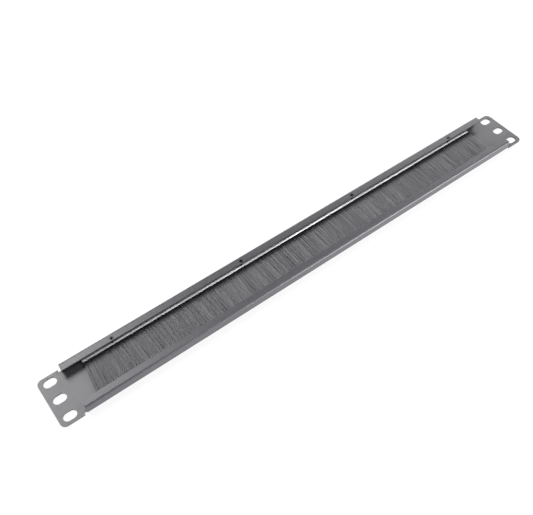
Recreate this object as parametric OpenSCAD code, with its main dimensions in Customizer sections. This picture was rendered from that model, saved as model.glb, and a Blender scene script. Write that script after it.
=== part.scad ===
// Rack brush strip panel: a folded one-unit sheet panel for a nineteen inch rack.
// A strip brush is clamped in the pocket of its upper fold and closes the cable opening.
// The panel lies on its front face: X runs along the rack, Y is up the rack face,
// and +Z is the rear side, towards the inside of the rack. All sizes are in millimetres.

/* [Panel] */
// Overall width across both rack ears
panel_w = 482.6; // [480:0.1:484]
// Height of the ears, one rack unit less its clearance
ear_h = 43.7; // [43:0.1:44.4]
// Width of each ear, outside its relief notches
ear_w = 17.8; // [16.5:0.1:19]
// Radius of the outer ear corners
ear_corner_r = 4.5; // [2:0.1:6]
// Sheet thickness
sheet_t = 1.2; // [1:0.1:1.5]
// Inside radius of every bend
bend_r = 0.4; // [0.2:0.1:0.8]
// Setback of each flange from the edge of the ears
flange_inset = 0.4; // [0.3:0.05:1.5]
// Depth of the folded body, from the front face to the back of the lips
body_d = 9.1; // [8.6:0.1:12]
// Width of each return lip
lip_w = 6.4; // [5.8:0.1:7]
// Width of the relief notches beside the bends
notch_w = 2; // [1:0.1:3]

/* [Cable opening] */
// Width of the front face left at each end of the opening
end_web = 22; // [18:0.5:32]
// Height of the front face left above and below the opening
ledge_w = 7.55; // [6.5:0.05:8.5]

/* [Ear slots] */
// Distance from the end of each ear to its slots
slot_inset = 8.75; // [8.5:0.05:9]
// Distance between the slots of one ear
slot_pitch_y = 15.875; // [15.775:0.025:15.975]
// Length of each slot
slot_l = 10.5; // [9:0.1:11.5]
// Height of each slot
slot_h = 7; // [6:0.1:7.5]

/* [Brush] */
// Reach of the brush channel past each end of the opening
channel_overlap = 6.3; // [2.5:0.1:15]
// Height of the brush channel
channel_h = 5.4; // [5:0.1:6]
// Thickness of the brush channel
channel_t = 3; // [2.8:0.1:3.3]
// Wall of the brush channel
channel_wall = 0.4; // [0.3:0.05:0.45]
// Length of the pinched mouth of the channel
pinch_l = 1.7; // [1.2:0.1:2.2]
// How far each leg of the channel is pinched in at its mouth
pinch_in = 0.75; // [0.3:0.05:0.8]
// Diameter of the wire that the bristles are folded over
wire_d = 0.9; // [0.7:0.05:1]
// Reach of the bristles below the channel
bristle_reach = 29.8; // [27:0.1:31]
// Number of tufts that the bristles part into
tufts = 100; // [60:1:120]
// Greatest shortfall of a tuft against the longest one
tip_uneven = 0.9; // [0:0.1:2]
// Sideways lean of the last tufts at the -X end
end_lean = 3.5; // [0:0.1:5]

/* [Clamp screws] */
// Thread diameter of the set screws
screw_d = 3; // [2.5:0.1:3.2]
// Distance from the free edge of the upper lip to the set screws
screw_edge = 1.9; // [1.8:0.1:3]
// Number of set screws
screw_n = 4; // [2:1:6]
// Distance from each end of the channel to the nearest set screw
screw_inset = 26.4; // [15:0.1:100]
// Width across flats of the hexagon socket
socket_af = 1.5; // [1.2:0.1:1.6]

/* [Hidden] */
$fn = 48;
cut = 1;                                   // how far a cutting tool runs past a face
body_l = panel_w - 2 * (ear_w + notch_w);  // length of the folded body
body_h = ear_h - 2 * flange_inset;         // height of the folded body, over its flanges
opening_w = body_l - 2 * end_web;          // width of the cable opening
opening_h = body_h - 2 * ledge_w;          // height of the cable opening
slot_pitch_x = panel_w - 2 * slot_inset;   // from the slots of one ear to the other's
outer_r = bend_r + sheet_t;                // outside radius of every bend
bend_y = body_h / 2 - outer_r;             // where the flat of the front face ends
lip_y = body_h / 2 - lip_w;                // free edge of each return lip
seat_y = body_h / 2 - sheet_t;             // inner face of the upper flange
channel_l = opening_w + 2 * channel_overlap;  // length of the brush channel
mouth_y = seat_y - channel_h;              // open edge of the brush channel
channel_back_z = sheet_t + channel_t;      // face that the set screws press on
brush_z = sheet_t + channel_t / 2;         // middle plane of the brush
screw_y = lip_y + screw_edge;              // row of set screws in the upper lip
screw_l = body_d - channel_back_z;         // the set screws end flush with the lip
screw_pitch = (channel_l - 2 * screw_inset) / (screw_n - 1);  // between two set screws
screw_clear = 0.05;                        // radial room in the threaded hole
fold_r = 0.9;                              // outside radius of the channel's fold
root_l = channel_l - 1;                    // length of the brush inside the channel
root_y = seat_y - channel_wall - 0.05;     // top of the folded bristles
wire_y = root_y - wire_d / 2 - 0.35;       // axis of the core wire
wire_clear = 0.05;                         // radial room round the core wire
tip_y = mouth_y - bristle_reach;           // level of the longest tips
root_half = channel_t / 2 - channel_wall;  // half thickness of the brush in the channel
mouth_half = root_half - pinch_in;         // half thickness of the brush in the mouth
flare_half = channel_t / 2 - 0.3;          // half thickness of the brush outside it
ridge = 0.3;                               // depth of the valleys between two tufts
pitch = root_l / tufts;                    // width of one tuft
lean_tufts = 8;                            // how many tufts share the lean
short = rands(0, 1, tufts + 1, 11);        // shortfall of each tuft, as a share
part = rands(0, 1, tufts + 1, 23);         // depth of each parting, as a share

// A rectangle centred on the origin with true arcs at its corners.
module round_rect(w, h, r) {
    square([w - 2 * r, h], center = true);
    square([w, h - 2 * r], center = true);
    for (sx = [-1, 1], sy = [-1, 1])
        translate([sx * (w / 2 - r), sy * (h / 2 - r)]) circle(r = r);
}

// A slot lying along X.
module slot() {
    square([slot_l - slot_h, slot_h], center = true);
    for (sx = [-1, 1])
        translate([sx * (slot_l - slot_h) / 2, 0]) circle(d = slot_h);
}

// Stands a drawing of the YZ plane up and runs it along X, centred.
module along_x(length) {
    translate([-length / 2, 0, 0])
        rotate([90, 0, 90]) linear_extrude(height = length) children();
}

// Section of the folded body: front face, two flanges and two return lips.
module body_section() {
    difference() {
        translate([0, body_d / 2]) round_rect(body_h, body_d, outer_r);
        translate([0, body_d / 2])
            round_rect(body_h - 2 * sheet_t, body_d - 2 * sheet_t, bend_r);
        translate([-lip_y, body_d / 2]) square([2 * lip_y, body_d]);
    }
}

// Flat ear with its rounded corners, its slots and the neck between the relief notches.
module ear() {
    inner_x = body_l / 2 + notch_w;
    linear_extrude(height = sheet_t) {
        difference() {
            round_rect(panel_w, ear_h, ear_corner_r);
            translate([-panel_w, -ear_h]) square([panel_w + inner_x, 2 * ear_h]);
            for (row = [-1, 0, 1])
                translate([slot_pitch_x / 2, row * slot_pitch_y]) slot();
        }
        translate([body_l / 2 - notch_w, -bend_y]) square([2 * notch_w, 2 * bend_y]);
    }
}

module at_each_screw() {
    for (i = [0 : screw_n - 1])
        translate([(i - (screw_n - 1) / 2) * screw_pitch, screw_y, channel_back_z])
            children();
}

// One sheet: punched ears and opening, four bends, set screw holes in the upper lip.
module panel() {
    color("#8b8b8f") difference() {
        union() {
            along_x(body_l) body_section();
            ear();
            mirror([1, 0, 0]) ear();
        }
        translate([-opening_w / 2, -opening_h / 2, -cut])
            cube([opening_w, opening_h, sheet_t + 2 * cut]);
        at_each_screw() translate([0, 0, screw_l / 2])
            cylinder(d = screw_d + 2 * screw_clear, h = body_d);
    }
}

// Outline of a channel with its back at top_y: rounded there, pinched at the mouth.
module channel_outline(half, top_y, r) {
    for (side = [-1, 1])
        translate([top_y - r, side * (half - r)]) circle(r = r);
    polygon([
        [top_y, half - r], [top_y - r, half], [mouth_y + pinch_l, half],
        [mouth_y, half - pinch_in], [mouth_y, pinch_in - half],
        [mouth_y + pinch_l, -half], [top_y - r, -half], [top_y, r - half]
    ]);
}

// Bright metal strip rolled to a U and pinched at its mouth, with its back in the bend.
module brush_channel() {
    color("#e6e6e8") along_x(channel_l) translate([0, brush_z]) difference() {
        channel_outline(channel_t / 2, seat_y, fold_r);
        channel_outline(root_half, seat_y - channel_wall, fold_r - channel_wall);
        translate([mouth_y - cut, -mouth_half]) square([2 * cut, 2 * mouth_half]);
    }
}

module core_wire() {
    color("#b8b8bc") along_x(channel_l)
        translate([wire_y, brush_z]) circle(d = wire_d);
}

// Across the brush: one shallow ridge for each tuft on both faces.
module tuft_section() {
    first = -ceil(end_lean / pitch);
    last = tufts;
    half = [for (i = [first : last - 1])
        let (x = -root_l / 2 + i * pitch, high = flare_half, low = flare_half - ridge)
        each [[x, low], [x + 0.3 * pitch, high], [x + 0.7 * pitch, high]]];
    far_end = [[root_l / 2, flare_half - ridge]];
    upper = concat(half, far_end);
    n = len(upper);
    lower = [for (i = [n - 1 : -1 : 0]) [upper[i][0], -upper[i][1]]];
    polygon(concat(upper, lower));
}

// Sideways shift at depth y for tuft boundary i: the last tufts at the -X end lean out.
function lean(i, y) =
    -end_lean * max(0, 1 - i / lean_tufts) * (mouth_y - y) / bristle_reach;

function tuft_tip(i) = tip_y + tip_uneven * short[i];
function parting_y(i) = tip_y + 3 + 11 * part[i] * part[i];
function parting_half(i) = 0.15 + 0.25 * part[i];
function boundary(i, y, side) = -root_l / 2 + i * pitch + lean(i, y) + side;

// Front view of the brush: a straight root, uneven tips and a parting beside each tuft.
module comb() {
    tips = [for (i = [0 : tufts - 1])
        let (y = tuft_tip(i))
        each [
            [boundary(i, y, i == 0 ? 0 : parting_half(i)), y],
            [boundary(i + 1, y, i == tufts - 1 ? 0 : -parting_half(i + 1)), y],
            if (i < tufts - 1) [boundary(i + 1, parting_y(i + 1), 0), parting_y(i + 1)]
        ]];
    root = [
        [root_l / 2, mouth_y], [root_l / 2, root_y], [-root_l / 2, root_y],
        [-root_l / 2, mouth_y]
    ];
    polygon(concat(tips, root));
}

// Side view of the brush: packed in the channel, pinched at its mouth, wider below it.
module brush_side() {
    fold = fold_r - channel_wall;
    flare_y = mouth_y - 6;
    pinch_y = mouth_y + pinch_l;
    polygon([
        [root_y, root_half - fold], [root_y - fold, root_half], [pinch_y, root_half],
        [mouth_y, mouth_half], [flare_y, flare_half], [tip_y - cut, flare_half],
        [tip_y - cut, -flare_half], [flare_y, -flare_half], [mouth_y, -mouth_half],
        [pinch_y, -root_half], [root_y - fold, -root_half], [root_y, fold - root_half]
    ]);
}

// Nylon bristles, folded over the core wire and parted into tufts.
module bristles() {
    color("#69696c") translate([0, 0, brush_z]) difference() {
        intersection() {
            rotate([90, 0, 0]) translate([0, 0, -root_y - cut])
                linear_extrude(height = root_y - tip_y + 2 * cut) tuft_section();
            translate([0, 0, -channel_t]) linear_extrude(height = 2 * channel_t) comb();
            along_x(2 * channel_l) brush_side();
        }
        along_x(channel_l + 2 * cut)
            translate([wire_y, 0]) circle(d = wire_d + 2 * wire_clear);
    }
}

// Socket set screw standing on its point, turned as one profile.
module set_screw() {
    chamfer = 0.4;
    r = screw_d / 2;
    difference() {
        rotate_extrude() polygon([
            [0, 0], [r - 2 * chamfer, 0], [r, 2 * chamfer],
            [r, screw_l - chamfer], [r - chamfer, screw_l], [0, screw_l]
        ]);
        translate([0, 0, screw_l / 2]) linear_extrude(height = screw_l)
            circle(d = socket_af / cos(30), $fn = 6);
    }
}

module clamp_screws() {
    color("#3c3c3f") at_each_screw() set_screw();
}

panel();
brush_channel();
core_wire();
bristles();
clamp_screws();
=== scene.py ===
# A one-unit rack brush strip panel, lying on its front face with its rear side up.
# X runs along the rack, +Y is up the rack face, and +Z points towards the inside of the rack.
import math
import random

import bpy
from mathutils import Matrix, Vector


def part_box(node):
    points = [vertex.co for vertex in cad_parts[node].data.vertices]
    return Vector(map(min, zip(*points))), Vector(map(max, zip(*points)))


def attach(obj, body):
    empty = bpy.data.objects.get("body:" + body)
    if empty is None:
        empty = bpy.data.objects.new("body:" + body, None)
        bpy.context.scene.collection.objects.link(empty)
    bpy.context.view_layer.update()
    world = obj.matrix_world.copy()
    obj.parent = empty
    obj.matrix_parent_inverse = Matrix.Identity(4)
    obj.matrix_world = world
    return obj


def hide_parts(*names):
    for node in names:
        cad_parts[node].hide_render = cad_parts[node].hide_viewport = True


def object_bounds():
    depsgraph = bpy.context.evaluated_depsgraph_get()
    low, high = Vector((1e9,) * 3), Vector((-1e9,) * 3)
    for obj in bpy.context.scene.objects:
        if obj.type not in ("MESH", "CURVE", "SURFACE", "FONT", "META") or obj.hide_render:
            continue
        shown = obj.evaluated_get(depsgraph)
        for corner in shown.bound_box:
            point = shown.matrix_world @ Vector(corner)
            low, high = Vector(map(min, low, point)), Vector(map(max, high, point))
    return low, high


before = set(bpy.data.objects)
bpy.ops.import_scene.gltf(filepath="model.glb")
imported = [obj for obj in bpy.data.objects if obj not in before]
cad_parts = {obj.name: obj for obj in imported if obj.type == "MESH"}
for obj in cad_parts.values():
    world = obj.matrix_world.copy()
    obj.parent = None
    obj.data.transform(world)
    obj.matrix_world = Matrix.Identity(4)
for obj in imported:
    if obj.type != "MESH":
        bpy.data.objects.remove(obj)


# ---- Camera ------------------------------------------------------------------------------
# A lens of about 46 mm on a full-frame sensor, held over the panel's -X, -Y corner
# and pointed down along it.
MM = 0.001                            # metres in a millimetre
camera_place = (-239.6, -257.5, 455.0)    # millimetres
camera_turn = (36.59, 0.01, -36.88)       # degrees about X, Y and Z

camera_data = bpy.data.cameras.new("camera")
camera_data.sensor_width = 36
camera_data.lens = 45.93
camera = bpy.data.objects.new("camera", camera_data)
bpy.context.scene.collection.objects.link(camera)
camera.location = [distance * MM for distance in camera_place]
camera.rotation_euler = [math.radians(angle) for angle in camera_turn]
bpy.context.scene.camera = camera
bpy.context.scene.view_settings.view_transform = "Standard"


# ---- Floor and studio light --------------------------------------------------------------
# A white table top in a dim white tent. The key is a large soft box high behind the panel.
# Smaller ones hang overhead, beyond the +X end, past the -X end and low in front. Places,
# widths and heights of the boxes are in metres, powers in watts.
cad_low, cad_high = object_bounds()
table_size = 6                        # metres along each side
table_gap = 0.05 * MM                 # keeps the table top clear of the front face
table_grey = "#f2f2f2"
plain_white = "#ffffff"
glow_near = 0.8                       # how much of the table is plain white near the panel
glow_start, glow_full = 0.8, 1.8      # metres out, where that grows and where all of it is
tent_light = 0.12                     # strength of the tent's light on the panel


def linear(hex_colour):
    """The linear RGBA colour of an sRGB hex value."""
    channels = [int(hex_colour[i:i + 2], 16) / 255 for i in (1, 3, 5)]
    return [c / 12.92 if c <= 0.04045 else ((c + 0.055) / 1.055) ** 2.4 for c in channels] + [1]


def add_node(tree, kind, settings=None, links=None):
    """Adds a shader node; settings are properties or input values, links feed its inputs."""
    made = tree.nodes.new("ShaderNode" + kind)
    for name, value in (settings or {}).items():
        if isinstance(name, str) and hasattr(made, name):
            setattr(made, name, value)
        else:
            made.inputs[name].default_value = value
    for name, source in (links or {}).items():
        tree.links.new(source, made.inputs[name])
    return made


def new_tree(owner):
    """The emptied node tree of a material or world."""
    owner.use_nodes = True
    owner.node_tree.nodes.clear()
    return owner.node_tree


def deselect_all():
    for other in bpy.context.selected_objects:
        other.select_set(False)


def table_white():
    """Matt white table top that meets the eye as plain white and keeps a soft shadow."""
    material = bpy.data.materials.new("matt_white_table")
    tree = new_tree(material)
    place = add_node(tree, "TexCoord").outputs["Object"]
    paper = add_node(tree, "BsdfDiffuse", {"Color": linear(table_grey)})
    glow = add_node(tree, "Emission", {"Color": linear(plain_white), "Strength": 1.06})
    path = add_node(tree, "LightPath")
    reach = add_node(tree, "VectorMath", {"operation": "LENGTH"}, {0: place})
    share = add_node(tree, "MapRange", {"From Min": glow_start, "From Max": glow_full,
                                        "To Min": glow_near, "To Max": 1.0},
                     {"Value": reach.outputs["Value"]})
    seen = add_node(tree, "Math", {"operation": "MULTIPLY"},
                    {0: path.outputs["Is Camera Ray"], 1: share.outputs["Result"]})
    mirrored = add_node(tree, "Math", {"operation": "MULTIPLY", 1: glow_near},
                        {0: path.outputs["Is Glossy Ray"]})
    either = add_node(tree, "Math", {"operation": "MAXIMUM"},
                      {0: seen.outputs[0], 1: mirrored.outputs[0]})
    both = add_node(tree, "MixShader", {}, {0: either.outputs[0], 1: paper.outputs[0],
                                            2: glow.outputs[0]})
    add_node(tree, "OutputMaterial", {}, {"Surface": both.outputs[0]})
    return material


def white_tent():
    """A world that meets the eye as plain white and lights the panel only dimly."""
    world = bpy.data.worlds.new("white_tent")
    tree = new_tree(world)
    path = add_node(tree, "LightPath")
    lit = add_node(tree, "Background", {"Color": linear(plain_white), "Strength": tent_light})
    seen = add_node(tree, "Background", {"Color": linear(plain_white), "Strength": 1.0})
    both = add_node(tree, "MixShader", {}, {0: path.outputs["Is Camera Ray"],
                                            1: lit.outputs[0], 2: seen.outputs[0]})
    add_node(tree, "OutputWorld", {}, {"Surface": both.outputs[0]})
    return world


def soft_box(name, place, aim, width, height, power):
    """A flat area lamp at a place, turned to face its aim point with its width level."""
    lamp = bpy.data.lights.new(name, "AREA")
    lamp.shape = "RECTANGLE"
    lamp.size = width
    lamp.size_y = height
    lamp.energy = power
    holder = bpy.data.objects.new(name, lamp)
    bpy.context.scene.collection.objects.link(holder)
    holder.location = place
    holder.rotation_euler = (Vector(aim) - Vector(place)).to_track_quat("-Z", "Y").to_euler()


deselect_all()
bpy.ops.mesh.primitive_plane_add(size=table_size, location=(0, 0, cad_low.z - table_gap))
floor = bpy.context.object
floor.name = "floor"
floor.data.materials.append(table_white())
bpy.context.scene.world = white_tent()

soft_box("key_behind", place=(-0.24, 0.72, 1.01), aim=(-0.1, 0, 0),
         width=0.4, height=0.7, power=10.0)
soft_box("box_overhead", place=(0.5, -0.36, 1.12), aim=(0, 0, 0),
         width=0.5, height=0.5, power=5.2)
soft_box("wide_box_beyond", place=(1.1, 0.95, 0.7), aim=(0.1, 0, 0),
         width=1.4, height=0.56, power=15)
soft_box("low_box_at_side", place=(-1.25, 0.12, 0.42), aim=(-0.2, 0, 0),
         width=0.5, height=0.3, power=3)
soft_box("low_box_in_front", place=(0.74, -1.18, 0.13), aim=(0.05, 0, 0.02),
         width=0.7, height=0.22, power=31)


# ---- Folded panel ------------------------------------------------------------------------
# One sheet of 1.2 mm mild steel, punched, bent four times and then powder coated a blue
# grey. The coat is about 0.1 mm thick, so it rounds every cut edge a little.
coat_edge = 0.15 * MM                 # radius that the coat leaves on a cut edge
coat_grain = 0.8 * MM                 # grit of the textured coat, drawn coarse enough to show
grain_depth = 0.06 * MM
coat_peel = 3.5 * MM                  # soft ripple of the cured coat
peel_depth = 0.08 * MM
coat_drift = 60 * MM                  # slow change of shade along the sheet
coat_dark, coat_light = "#444348", "#565559"
hair = 0.001 * MM                     # two places closer than this are one


def powder_coat():
    """Fine-textured polyester powder coat: an even grey with a sandy grain and a low gloss."""
    material = bpy.data.materials.new("grey_powder_coat")
    tree = new_tree(material)
    place = add_node(tree, "TexCoord").outputs["Object"]
    grain = add_node(tree, "TexNoise", {"Scale": 1 / coat_grain, "Detail": 3.0,
                                        "Roughness": 0.6}, {"Vector": place})
    peel = add_node(tree, "TexNoise", {"Scale": 1 / coat_peel, "Detail": 2.0}, {"Vector": place})
    drift = add_node(tree, "TexNoise", {"Scale": 1 / coat_drift, "Detail": 2.0},
                     {"Vector": place})
    shade = add_node(tree, "ValToRGB", {}, {"Fac": grain.outputs["Fac"]})
    shade.color_ramp.elements[0].position = 0.3
    shade.color_ramp.elements[0].color = linear(coat_dark)
    shade.color_ramp.elements[1].position = 0.7
    shade.color_ramp.elements[1].color = linear(coat_light)
    tone = add_node(tree, "MapRange", {"From Min": 0.3, "From Max": 0.7, "To Min": 0.98,
                                       "To Max": 1.02}, {"Value": drift.outputs["Fac"]})
    colour = add_node(tree, "HueSaturation", {}, {"Color": shade.outputs["Color"],
                                                  "Value": tone.outputs["Result"]})
    gloss = add_node(tree, "MapRange", {"From Min": 0.3, "From Max": 0.7, "To Min": 0.32,
                                        "To Max": 0.4}, {"Value": grain.outputs["Fac"]})
    ripple = add_node(tree, "Bump", {"Strength": 0.35, "Distance": peel_depth},
                      {"Height": peel.outputs["Fac"]})
    grit = add_node(tree, "Bump", {"Strength": 0.8, "Distance": grain_depth},
                    {"Height": grain.outputs["Fac"], "Normal": ripple.outputs["Normal"]})
    coat = add_node(tree, "BsdfPrincipled", {"IOR": 1.5},
                    {"Base Color": colour.outputs["Color"],
                     "Roughness": gloss.outputs["Result"], "Normal": grit.outputs["Normal"]})
    add_node(tree, "OutputMaterial", {}, {"Surface": coat.outputs[0]})
    return material


def only(piece):
    """Makes a piece the only selected one."""
    deselect_all()
    piece.select_set(True)
    bpy.context.view_layer.objects.active = piece


def apply_modifier(piece, kind, **settings):
    """Gives a piece a modifier with its settings and applies it."""
    only(piece)
    modifier = piece.modifiers.new(kind.lower(), kind)
    for name, value in settings.items():
        setattr(modifier, name, value)
    bpy.ops.object.modifier_apply(modifier=modifier.name)


def with_soft_edges(node, name, radius):
    """A copy of a CAD node as one clean skin, its sharp edges rounded to a radius."""
    piece = bpy.data.objects.new(name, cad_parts[node].data.copy())
    bpy.context.scene.collection.objects.link(piece)
    piece.data.materials.clear()
    only(piece)
    bpy.ops.object.mode_set(mode="EDIT")
    bpy.ops.mesh.select_all(action="SELECT")
    bpy.ops.mesh.remove_doubles(threshold=hair)
    bpy.ops.mesh.dissolve_limited(angle_limit=math.radians(1))
    bpy.ops.object.mode_set(mode="OBJECT")
    apply_modifier(piece, "BEVEL", width=radius, segments=2, limit_method="ANGLE",
                   angle_limit=math.radians(40), use_clamp_overlap=True)
    bpy.ops.object.shade_smooth_by_angle(angle=math.radians(30))
    apply_modifier(piece, "WEIGHTED_NORMAL", keep_sharp=True, weight=100)
    return piece


panel = with_soft_edges("panel", "folded_panel", coat_edge)
panel.data.materials.append(powder_coat())
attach(panel, "root")
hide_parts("panel")


# ---- Brush channel -----------------------------------------------------------------------
# A strip of 0.4 mm aluminium rolled to a U round the brush and pinched shut on it. It keeps
# the bright mill finish, with fine draw lines along its length.
channel_edge = 0.06 * MM              # dulled edge of the rolled strip
draw_line = 0.25 * MM                 # spacing of the draw lines, drawn coarse enough to show
draw_length = 40 * MM                 # how far one draw line runs
draw_depth = 0.02 * MM
roll_wave = 45 * MM                   # slow waver left by the rollers
wave_depth = 0.6 * MM
mill_dull, mill_bright = "#dcdde0", "#f6f7f8"


def mill_aluminium():
    """Mill-finish aluminium: bright and silvery, streaked lengthwise, softly blurred."""
    material = bpy.data.materials.new("mill_finish_aluminium")
    tree = new_tree(material)
    place = add_node(tree, "TexCoord").outputs["Object"]
    along = add_node(tree, "Mapping", {"Scale": (1 / draw_length, 1 / draw_line, 1 / draw_line)},
                     {"Vector": place})
    lines = add_node(tree, "TexNoise", {"Scale": 1.0, "Detail": 3.0},
                     {"Vector": along.outputs["Vector"]})
    wave = add_node(tree, "TexNoise", {"Scale": 1 / roll_wave, "Detail": 1.0},
                    {"Vector": place})
    shade = add_node(tree, "ValToRGB", {}, {"Fac": lines.outputs["Fac"]})
    shade.color_ramp.elements[0].position = 0.3
    shade.color_ramp.elements[0].color = linear(mill_dull)
    shade.color_ramp.elements[1].position = 0.7
    shade.color_ramp.elements[1].color = linear(mill_bright)
    gloss = add_node(tree, "MapRange", {"From Min": 0.3, "From Max": 0.7, "To Min": 0.42,
                                        "To Max": 0.6}, {"Value": wave.outputs["Fac"]})
    waver = add_node(tree, "Bump", {"Strength": 0.5, "Distance": wave_depth},
                     {"Height": wave.outputs["Fac"]})
    scored = add_node(tree, "Bump", {"Strength": 0.3, "Distance": draw_depth},
                      {"Height": lines.outputs["Fac"], "Normal": waver.outputs["Normal"]})
    metal = add_node(tree, "BsdfPrincipled", {"Metallic": 1.0},
                     {"Base Color": shade.outputs["Color"],
                      "Roughness": gloss.outputs["Result"], "Normal": scored.outputs["Normal"]})
    add_node(tree, "OutputMaterial", {}, {"Surface": metal.outputs[0]})
    return material


channel = with_soft_edges("brush_channel", "rolled_channel", channel_edge)
channel.data.materials.append(mill_aluminium())
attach(channel, "root")
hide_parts("brush_channel")


# ---- Core wire ---------------------------------------------------------------------------
# A 0.9 mm galvanised steel wire that the bristles are folded over. Only its two cut ends
# show, inside the ends of the channel.
wire_low, wire_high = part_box("core_wire")
wire_y = (wire_low.y + wire_high.y) / 2
wire_r = (wire_high.y - wire_low.y) / 2
zinc_spangle = 1.5 * MM               # size of one patch of the zinc's frost
frost_depth = 0.02 * MM
zinc_dull, zinc_bright = "#a9abad", "#c6c8ca"


def galvanised_wire():
    """Zinc-coated steel wire: dull silver with a faint frosted patchwork."""
    material = bpy.data.materials.new("galvanised_wire")
    tree = new_tree(material)
    place = add_node(tree, "TexCoord").outputs["Object"]
    frost = add_node(tree, "TexVoronoi", {"Scale": 1 / zinc_spangle}, {"Vector": place})
    shade = add_node(tree, "ValToRGB", {}, {"Fac": frost.outputs["Distance"]})
    shade.color_ramp.elements[0].color = linear(zinc_dull)
    shade.color_ramp.elements[1].color = linear(zinc_bright)
    gloss = add_node(tree, "MapRange", {"To Min": 0.3, "To Max": 0.5},
                     {"Value": frost.outputs["Distance"]})
    frosted = add_node(tree, "Bump", {"Strength": 0.2, "Distance": frost_depth},
                       {"Height": frost.outputs["Distance"]})
    metal = add_node(tree, "BsdfPrincipled", {"Metallic": 1.0},
                     {"Base Color": shade.outputs["Color"],
                      "Roughness": gloss.outputs["Result"], "Normal": frosted.outputs["Normal"]})
    add_node(tree, "OutputMaterial", {}, {"Surface": metal.outputs[0]})
    return material


for wire_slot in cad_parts["core_wire"].material_slots:
    wire_slot.material = galvanised_wire()


# ---- Bristles ----------------------------------------------------------------------------
# Black nylon 6 filaments, laid side by side, folded over the core wire and gripped by the
# channel. They hang as two leaves, part into tufts, and lean out a little at the -X end.
brush_low, brush_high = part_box("bristles")
mouth_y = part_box("brush_channel")[0].y  # open edge of the channel
brush_end_x = brush_high.x
brush_z = (brush_low.z + brush_high.z) / 2
brush_half = (brush_high.z - brush_low.z) / 2
root_half = 1.1 * MM                  # half thickness of the brush inside the channel
mouth_half = 0.35 * MM                # and in the channel's pinched mouth
mouth_keep = 0.3                      # how much of its radius a filament keeps there
mouth_drop = 0.2 * MM                 # how far below the mouth a filament starts to spread
flare_y = mouth_y - 6 * MM            # where the brush has spread to its full thickness
filament_r = 0.17 * MM                # real ones are 0.1 mm, too fine to draw one by one
filaments_per_tuft = 44               # in one leaf
tuft_n = 100
tuft_w = 2 * brush_end_x / tuft_n
tuft_kinds = 5                        # different tufts that the row is made up from
tuft_spread = 0.53                    # half width of a tuft at its root, in tuft widths
tuft_gather = (0.94, 1.05)            # how much narrower or wider a tuft is at its tips
outward = 0.35                        # the lower, the more filaments lie at the outside
tip_stray = 0.4 * MM                  # how far filament tips stray sideways
flare_stray = 0.06 * MM               # and higher up, where the brush has spread
flare_share = 0.2                     # share of a tuft's gathering that is done by there
tip_short = 0.3 * MM                  # how much single filaments fall short of their tuft
tip_uneven = 0.9 * MM                 # how much the shortest tuft falls short
end_lean = 3.0 * MM                   # how far the tips of the first tuft lean out
lean_tufts = 8                        # how many tufts share that lean
lean_stray = 0.013                    # sideways lean of any tuft, for each unit of length
sheet_t = 0.3 * MM                    # the inmost filaments, drawn as one thin sheet
sheet_grip = 1 * MM                   # how far that sheet reaches into the channel
sheet_short = 1.4 * MM                # and how far above the tips it ends
sheet_inset = 0.2 * tuft_w            # and how far inside the ends of the brush
wire_clear = 0.05 * MM                # room between the wire and the fold of the bristles
streak_w, streak_l = 1.1 * MM, 28 * MM    # one streak of shade along the filaments
band_w, band_l = 6 * MM, 60 * MM      # one broad band of shade, a tuft or two wide
scuff_depth = 0.03 * MM
painted_shade_full = mouth_y - 1.4 * MM         # painted shade of the packed roots is deepest from here up
painted_shade_fade = mouth_y - 7.6 * MM       # and fades out by here, below which the brush has its full colour
# Mid greys for black nylon: part of its satin sheen is painted into the colour.
nylon_and_sheen_dark, nylon_and_sheen_light = "#6f6e71", "#78777a"


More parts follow.
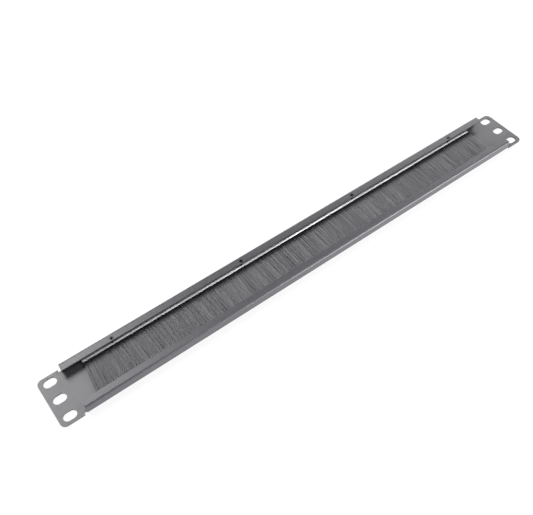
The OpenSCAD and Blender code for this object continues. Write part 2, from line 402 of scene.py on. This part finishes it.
def nylon():
    """Black nylon filament, its satin sheen partly painted into a mid grey colour, streaked
    along its length.
    Painted shade darkens it towards the channel, for the shadow among the packed roots."""
    material = bpy.data.materials.new("black_nylon_filament")
    tree = new_tree(material)
    place = add_node(tree, "TexCoord").outputs["Object"]
    lengthwise = add_node(tree, "Mapping", {"Scale": (1 / streak_w, 1 / streak_l, 1 / streak_w)},
                          {"Vector": place})
    streak = add_node(tree, "TexNoise", {"Scale": 1.0, "Detail": 3.0, "Roughness": 0.6},
                      {"Vector": lengthwise.outputs["Vector"]})
    broad = add_node(tree, "Mapping", {"Scale": (1 / band_w, 1 / band_l, 1 / band_w)},
                     {"Vector": place})
    band = add_node(tree, "TexNoise", {"Scale": 1.0, "Detail": 1.0},
                    {"Vector": broad.outputs["Vector"]})
    # Streaked grey, with painted sheen lightening the black nylon.
    shade = add_node(tree, "ValToRGB", {}, {"Fac": streak.outputs["Fac"]})
    shade.color_ramp.elements[0].position = 0.3
    shade.color_ramp.elements[0].color = linear(nylon_and_sheen_dark)
    shade.color_ramp.elements[1].position = 0.72
    shade.color_ramp.elements[1].color = linear(nylon_and_sheen_light)
    tone = add_node(tree, "MapRange", {"From Min": 0.3, "From Max": 0.7, "To Min": 0.95,
                                       "To Max": 1.05}, {"Value": band.outputs["Fac"]})
    height = add_node(tree, "SeparateXYZ", {}, {"Vector": place})
    # Painted shade: the colour falls to 0.22 of itself towards the channel's mouth, as if in
    # shadow.
    depth = add_node(tree, "MapRange", {"interpolation_type": "SMOOTHSTEP",
                                        "From Min": painted_shade_fade, "From Max": painted_shade_full,
                                        "To Min": 1.0, "To Max": 0.22},
                     {"Value": height.outputs["Y"]})
    tone_and_painted_shade = add_node(tree, "Math", {"operation": "MULTIPLY"},
                    {0: tone.outputs["Result"], 1: depth.outputs["Result"]})
    colour = add_node(tree, "HueSaturation", {}, {"Color": shade.outputs["Color"],
                                                  "Value": tone_and_painted_shade.outputs[0]})
    scuff = add_node(tree, "Bump", {"Strength": 0.3, "Distance": scuff_depth},
                     {"Height": streak.outputs["Fac"]})
    gloss = add_node(tree, "MapRange", {"To Min": 0.38, "To Max": 0.55},
                     {"Value": streak.outputs["Fac"]})
    plastic = add_node(tree, "BsdfPrincipled", {"IOR": 1.53},
                       {"Base Color": colour.outputs["Color"],
                        "Roughness": gloss.outputs["Result"],
                        "Normal": scuff.outputs["Normal"]})
    add_node(tree, "OutputMaterial", {}, {"Surface": plastic.outputs[0]})
    return material


def mark_ends_sharp(filament, *ends_y):
    """Keeps the round shading of a filament's side off its cut ends."""
    only(filament)
    bpy.ops.object.mode_set(mode="EDIT")
    bpy.ops.mesh.select_all(action="DESELECT")
    bpy.ops.mesh.select_mode(type="EDGE")
    bpy.ops.object.mode_set(mode="OBJECT")
    for edge in filament.data.edges:
        levels = [filament.data.vertices[v].co.y for v in edge.vertices]
        edge.select = any(abs(levels[0] - end) + abs(levels[1] - end) < hair for end in ends_y)
    bpy.ops.object.mode_set(mode="EDIT")
    bpy.ops.mesh.mark_sharp()
    bpy.ops.object.mode_set(mode="OBJECT")


def straight_filament():
    """One three-sided filament, hanging straight down in four rings from the fold."""
    rings_y = (wire_y, mouth_y - mouth_drop, flare_y, brush_low.y)
    deselect_all()
    bpy.ops.mesh.primitive_circle_add(vertices=3, radius=filament_r, fill_type="NGON",
                                      location=(0, rings_y[0], 0),
                                      rotation=(math.radians(90), 0, 0))
    filament = bpy.context.object
    bpy.ops.object.transform_apply(location=True, rotation=True, scale=True)
    bpy.ops.object.mode_set(mode="EDIT")
    bpy.ops.mesh.select_all(action="SELECT")
    for upper, lower in zip(rings_y, rings_y[1:]):
        bpy.ops.mesh.extrude_region_move(TRANSFORM_OT_translate={"value": (0, lower - upper, 0)})
    bpy.ops.mesh.select_all(action="SELECT")
    bpy.ops.mesh.normals_make_consistent(inside=False)
    bpy.ops.object.mode_set(mode="OBJECT")
    bpy.ops.object.shade_smooth()
    mark_ends_sharp(filament, rings_y[0], rings_y[-1])
    return filament


def copy_of(piece):
    """A copy of a piece with its own mesh."""
    twin = bpy.data.objects.new(piece.name, piece.data.copy())
    bpy.context.scene.collection.objects.link(twin)
    return twin


def joined(pieces, name):
    """The pieces joined into one of that name."""
    only(pieces[0])
    for piece in pieces:
        piece.select_set(True)
    bpy.ops.object.join()
    pieces[0].name = pieces[0].data.name = name
    return pieces[0]


def tuft(filament, chance, leaf):
    """One tuft of one leaf: packed at the root, pinched at the mouth, gathered below it."""
    members = []
    gather = chance.uniform(*tuft_gather)
    for _ in range(filaments_per_tuft):
        across = chance.uniform(-tuft_spread, tuft_spread) * tuft_w
        depth = chance.random() ** outward
        root_z = leaf * (wire_r + depth * (root_half - wire_r))
        mouth_z = leaf * depth * (mouth_half - mouth_keep * filament_r)
        flare_z = leaf * depth * (brush_half - filament_r)
        tip_x = across * gather + chance.gauss(0, tip_stray)
        flare_x = across + flare_share * (tip_x - across) + chance.gauss(0, flare_stray)
        lift = abs(chance.gauss(0, tip_short))
        places = ((across, root_z, 0), (across, mouth_z, 0), (flare_x, flare_z, 0),
                  (tip_x, flare_z, lift))
        one = copy_of(filament)
        one.data.transform(Matrix.Rotation(chance.uniform(0, 2 * math.pi), 4, "Y"))
        levels = sorted({round(v.co.y, 6) for v in one.data.vertices}, reverse=True)
        for v in one.data.vertices:
            x, z, up = places[levels.index(round(v.co.y, 6))]
            v.co += Vector((x, up, z))
        members.append(one)
    return joined(members, "tuft")


def lean_at(i):
    """How far tuft number i leans out for each unit of its length."""
    return end_lean * max(0, 1 - i / lean_tufts) / (mouth_y - brush_low.y)


def inner_sheet():
    """The inmost filaments of all the tufts, which close the gaps between the outer ones."""
    top, bottom = mouth_y + sheet_grip, brush_low.y + sheet_short
    deselect_all()
    bpy.ops.mesh.primitive_cube_add(size=1, location=(0, (top + bottom) / 2, 0))
    sheet = bpy.context.object
    sheet.scale = (2 * (brush_end_x - sheet_inset), top - bottom, sheet_t)
    bpy.ops.object.transform_apply(location=True, rotation=True, scale=True)
    bpy.ops.object.mode_set(mode="EDIT")
    for i in range(1, tuft_n):
        bpy.ops.mesh.select_all(action="SELECT")
        bpy.ops.mesh.bisect(plane_co=(-brush_end_x + i * tuft_w, 0, 0), plane_no=(1, 0, 0))
    bpy.ops.mesh.select_all(action="SELECT")
    bpy.ops.mesh.bisect(plane_co=(0, mouth_y, 0), plane_no=(0, 1, 0))
    bpy.ops.object.mode_set(mode="OBJECT")
    for v in sheet.data.vertices:
        below = max(0, mouth_y - v.co.y)
        v.co.x -= lean_at((v.co.x + brush_end_x) / tuft_w) * below
        v.co.z += brush_z
    return sheet


def fold_over_wire():
    """The crest of the brush: filaments bent round the core wire, as one half ring."""
    inner, outer = wire_r + wire_clear, brush_high.y - wire_y
    deselect_all()
    bpy.ops.mesh.primitive_plane_add(size=1, location=(0, wire_y, -(inner + outer) / 2))
    crest = bpy.context.object
    crest.scale = (2 * brush_end_x, 1, 1)
    bpy.ops.object.transform_apply(location=False, rotation=False, scale=True)
    bpy.ops.object.mode_set(mode="EDIT")
    bpy.ops.mesh.select_all(action="SELECT")
    bpy.ops.transform.rotate(value=math.radians(90), orient_axis="X",
                             center_override=crest.location)
    bpy.ops.transform.resize(value=(1, 1, outer - inner), center_override=crest.location)
    bpy.ops.mesh.spin(steps=12, angle=math.radians(180), center=(0, wire_y, 0),
                      axis=(1, 0, 0), use_auto_merge=False)
    bpy.ops.mesh.select_all(action="SELECT")
    bpy.ops.mesh.remove_doubles(threshold=hair)
    bpy.ops.mesh.normals_make_consistent(inside=False)
    bpy.ops.object.mode_set(mode="OBJECT")
    bpy.ops.object.transform_apply(location=True, rotation=True, scale=True)
    bpy.ops.object.shade_smooth_by_angle(angle=math.radians(40))
    for v in crest.data.vertices:
        v.co.z += brush_z
    return crest


chance = random.Random(7)
filament = straight_filament()
row = [inner_sheet()]
for leaf in (-1, 1):
    kinds = [tuft(filament, chance, leaf) for _ in range(tuft_kinds)]
    for i in range(tuft_n):
        one = copy_of(kinds[chance.randrange(tuft_kinds)])
        centre_x = -brush_end_x + (i + 0.5) * tuft_w
        lean = lean_at(i) + chance.gauss(0, lean_stray)
        short = chance.random() * tip_uneven
        for v in one.data.vertices:
            below = max(0, mouth_y - v.co.y)
            v.co += Vector((centre_x - lean * below,
                            short * below / (mouth_y - brush_low.y), brush_z))
        row.append(one)
    for kind in kinds:
        bpy.data.objects.remove(kind)
bpy.data.objects.remove(filament)
row.append(fold_over_wire())
bristles = joined(row, "nylon_bristles")
bristles.data.materials.clear()
bristles.data.materials.append(nylon())
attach(bristles, "root")
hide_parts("bristles")


# ---- Set screws --------------------------------------------------------------------------
# Four M3 by 5 socket set screws in the threaded holes of the upper lip. They are turned from
# steel and blackened, and their points clamp the channel into the bend.
screws_low, screws_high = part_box("clamp_screws")
screw_r = (screws_high.y - screws_low.y) / 2
screw_y = (screws_low.y + screws_high.y) / 2
screw_n = 4
screw_step = (screws_high.x - screws_low.x - 2 * screw_r) / (screw_n - 1)
screw_turn = 37                       # degrees that each socket is turned past the last
thread_pitch = 0.5 * MM
thread_depth = 0.28 * MM
thread_crest = thread_pitch / 8       # width of the flat on each crest
thread_sides = 24                     # facets in one turn of the thread
thread_spare = 0.1 * MM               # length turned past both ends and cut off
head_chamfer = 0.35 * MM
point_chamfer = 0.7 * MM
socket_r = 0.75 * MM / math.cos(math.radians(30))    # over the corners of a 1.5 mm hexagon
socket_depth = 2.5 * MM
bloom_size = 0.6 * MM                 # one patch of the black finish
bloom_depth = 0.01 * MM
oxide_dark, oxide_light = "#323234", "#4c4c50"


def black_oxide():
    """Blackened alloy steel with a film of oil: near black, with soft bright edges."""
    material = bpy.data.materials.new("black_oxide_steel")
    tree = new_tree(material)
    place = add_node(tree, "TexCoord").outputs["Object"]
    bloom = add_node(tree, "TexNoise", {"Scale": 1 / bloom_size, "Detail": 3.0},
                     {"Vector": place})
    shade = add_node(tree, "ValToRGB", {}, {"Fac": bloom.outputs["Fac"]})
    shade.color_ramp.elements[0].position = 0.35
    shade.color_ramp.elements[0].color = linear(oxide_dark)
    shade.color_ramp.elements[1].position = 0.65
    shade.color_ramp.elements[1].color = linear(oxide_light)
    gloss = add_node(tree, "MapRange", {"To Min": 0.3, "To Max": 0.5},
                     {"Value": bloom.outputs["Fac"]})
    pitted = add_node(tree, "Bump", {"Strength": 0.2, "Distance": bloom_depth},
                      {"Height": bloom.outputs["Fac"]})
    metal = add_node(tree, "BsdfPrincipled", {"Metallic": 1.0},
                     {"Base Color": shade.outputs["Color"],
                      "Roughness": gloss.outputs["Result"], "Normal": pitted.outputs["Normal"]})
    add_node(tree, "OutputMaterial", {}, {"Surface": metal.outputs[0]})
    return material


def threaded_rod(low_z, high_z):
    """A rod with a true helical thread, cut square at both ends."""
    deselect_all()
    bpy.ops.mesh.primitive_plane_add(size=1)
    rod = bpy.context.object
    rod.data.clear_geometry()
    root_r = screw_r - thread_depth
    start_z = low_z - 2 * thread_pitch
    middle_z = start_z + thread_pitch / 2
    rod.data.from_pydata(
        [(root_r, 0, start_z), (screw_r, 0, middle_z - thread_crest / 2),
         (screw_r, 0, middle_z + thread_crest / 2), (root_r, 0, start_z + thread_pitch)],
        [(0, 1), (1, 2), (2, 3)], [])
    turns = math.ceil((high_z - low_z) / thread_pitch) + 3    # two spare below, one above
    apply_modifier(rod, "SCREW", angle=2 * math.pi, screw_offset=thread_pitch,
                   iterations=turns, steps=thread_sides, render_steps=thread_sides, axis="Z",
                   use_merge_vertices=True, merge_threshold=hair)
    bpy.ops.object.mode_set(mode="EDIT")
    for level, above in ((low_z, False), (high_z, True)):
        bpy.ops.mesh.select_all(action="SELECT")
        bpy.ops.mesh.bisect(plane_co=(0, 0, level), plane_no=(0, 0, 1), use_fill=True,
                            clear_inner=not above, clear_outer=above)
    bpy.ops.mesh.select_all(action="SELECT")
    bpy.ops.mesh.remove_doubles(threshold=hair)
    bpy.ops.mesh.normals_make_consistent(inside=False)
    bpy.ops.object.mode_set(mode="OBJECT")
    return rod


def turned_blank(low_z, high_z):
    """The outline that the lathe leaves: a cone point below and a chamfer above."""
    deselect_all()
    bpy.ops.mesh.primitive_cylinder_add(vertices=48, radius=screw_r + hair,
                                        depth=high_z - low_z,
                                        location=(0, 0, (low_z + high_z) / 2))
    blank = bpy.context.object
    bpy.ops.object.transform_apply(location=True, rotation=True, scale=True)
    for level, width in ((high_z, head_chamfer), (low_z, point_chamfer)):
        bpy.ops.object.mode_set(mode="EDIT")
        bpy.ops.mesh.select_all(action="DESELECT")
        bpy.ops.object.mode_set(mode="OBJECT")
        for edge in blank.data.edges:
            edge.select = all(abs(blank.data.vertices[v].co.z - level) < hair
                              for v in edge.vertices)
        bpy.ops.object.mode_set(mode="EDIT")
        bpy.ops.mesh.select_mode(type="EDGE")
        bpy.ops.mesh.bevel(offset=width, segments=1, affect="EDGES")
        bpy.ops.object.mode_set(mode="OBJECT")
    return blank


def cut_with(piece, tool, operation):
    """Shapes a piece with a second one by a Boolean, and removes the second one."""
    apply_modifier(piece, "BOOLEAN", object=tool, operation=operation, solver="EXACT")
    bpy.data.objects.remove(tool)


def set_screw():
    """One socket set screw on its point, standing at X = 0."""
    low_z, high_z = screws_low.z, screws_high.z
    screw = threaded_rod(low_z - thread_spare, high_z + thread_spare)
    cut_with(screw, turned_blank(low_z, high_z), "INTERSECT")
    deselect_all()
    bpy.ops.mesh.primitive_cylinder_add(vertices=6, radius=socket_r, depth=2 * socket_depth,
                                        location=(0, 0, high_z))
    key = bpy.context.object
    bpy.ops.object.transform_apply(location=True, rotation=True, scale=True)
    cut_with(screw, key, "DIFFERENCE")
    return screw


screw = set_screw()
screws = []
for i in range(screw_n):
    one = copy_of(screw)
    one.data.transform(Matrix.Rotation(math.radians(screw_turn * i), 4, "Z"))
    one.data.transform(Matrix.Translation((screws_low.x + screw_r + i * screw_step, screw_y, 0)))
    screws.append(one)
bpy.data.objects.remove(screw)
set_screws = joined(screws, "set_screws")
bpy.ops.object.shade_smooth_by_angle(angle=math.radians(30))
set_screws.data.materials.clear()
set_screws.data.materials.append(black_oxide())
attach(set_screws, "root")
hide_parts("clamp_screws")
